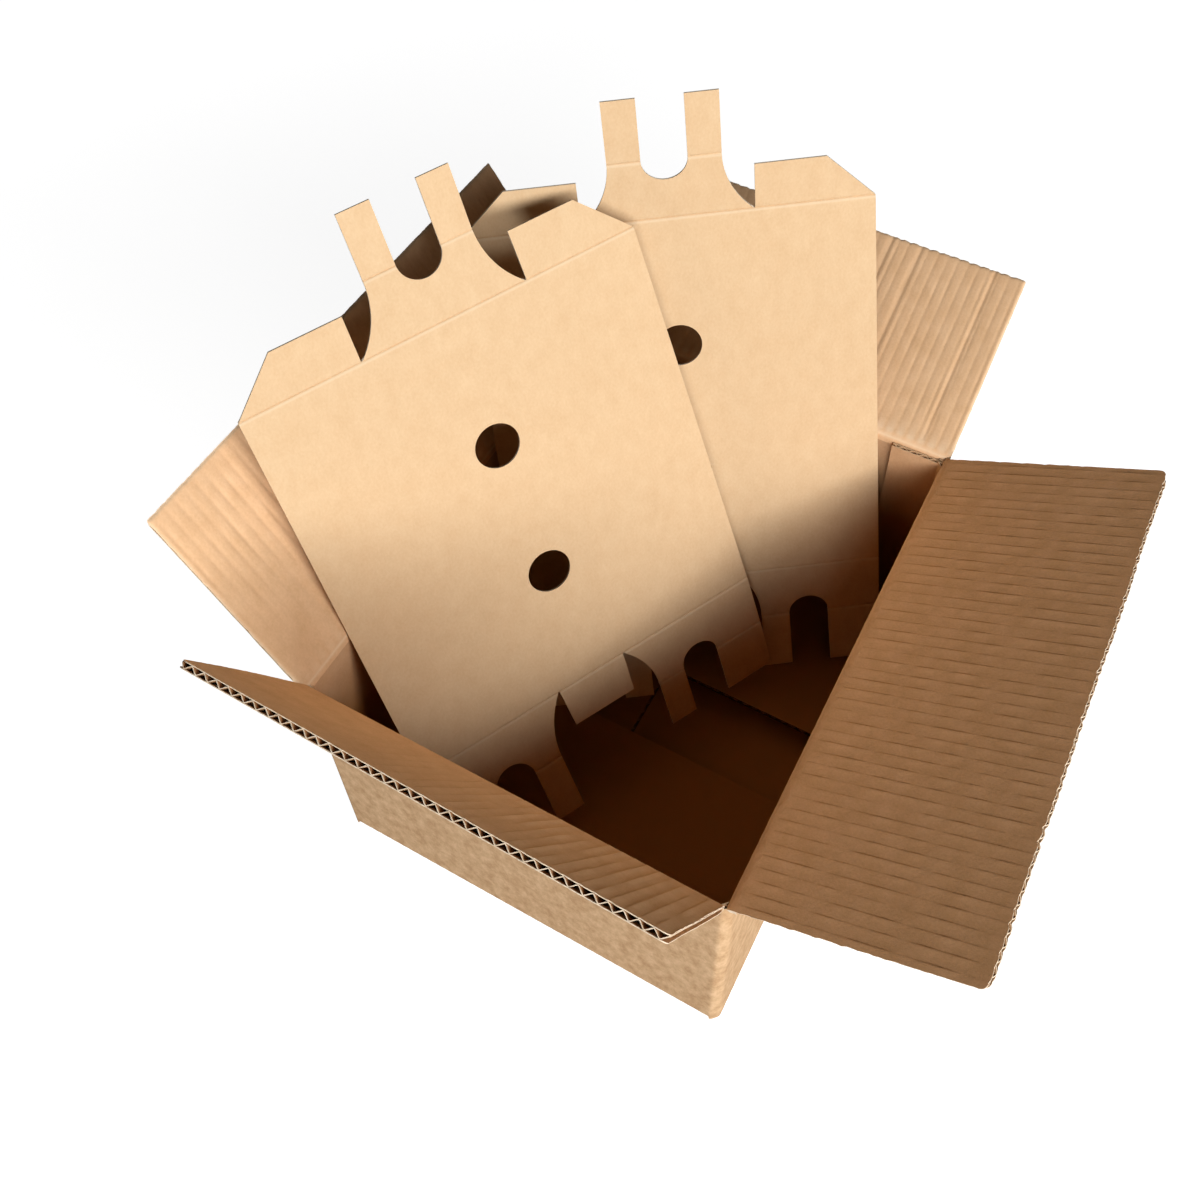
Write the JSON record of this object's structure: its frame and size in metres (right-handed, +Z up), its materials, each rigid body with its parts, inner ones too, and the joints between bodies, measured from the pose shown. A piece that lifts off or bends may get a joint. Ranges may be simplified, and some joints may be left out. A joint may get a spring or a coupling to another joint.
{
  "type": "wine shipping box",
  "caption": "Open corrugated carton with hinged top flaps, holding die-cut kraft inserts with neck notches and finger holes for bottles laid head to tail.",
  "frame": {"origin": "centre of the carton's base, on the surface it stands on", "axes": "+Z up, +X from the front end wall to the rear end wall, +Y from the right side wall to the left one"},
  "size_m": [0.5304, 0.4752, 0.4261],
  "materials": {
    "corrugated_board": "matte",
    "insert_board": "matte"
  },
  "bodies": {
    "box": {"carton": "corrugated_board", "front_insert": "insert_board", "rear_insert": "insert_board"},
    "front_end_flap": {"front_end_flap": "corrugated_board"},
    "rear_end_flap": {"rear_end_flap": "corrugated_board"},
    "right_side_flap": {"right_side_flap": "corrugated_board"},
    "left_side_flap": {"left_side_flap": "corrugated_board"}
  },
  "joints": [
    {"name": "front_end_fold", "type": "hinge", "parent": "box", "child": "front_end_flap", "pos_m": [-0.168, 0, 0.186], "axis": [0, -1, 0], "range_deg": [-26, 123.5]},
    {"name": "rear_end_fold", "type": "hinge", "parent": "box", "child": "rear_end_flap", "pos_m": [0.168, 0, 0.186], "axis": [0, 1, 0], "range_deg": [-51, 81.5]},
    {"name": "right_side_fold", "type": "hinge", "parent": "box", "child": "right_side_flap", "pos_m": [0, -0.1365, 0.186], "axis": [1, 0, 0], "range_deg": [-63, 86.5]},
    {"name": "left_side_fold", "type": "hinge", "parent": "box", "child": "left_side_flap", "pos_m": [0, 0.1365, 0.186], "axis": [-1, 0, 0], "range_deg": [-6.5, 117.5]}
  ]
}
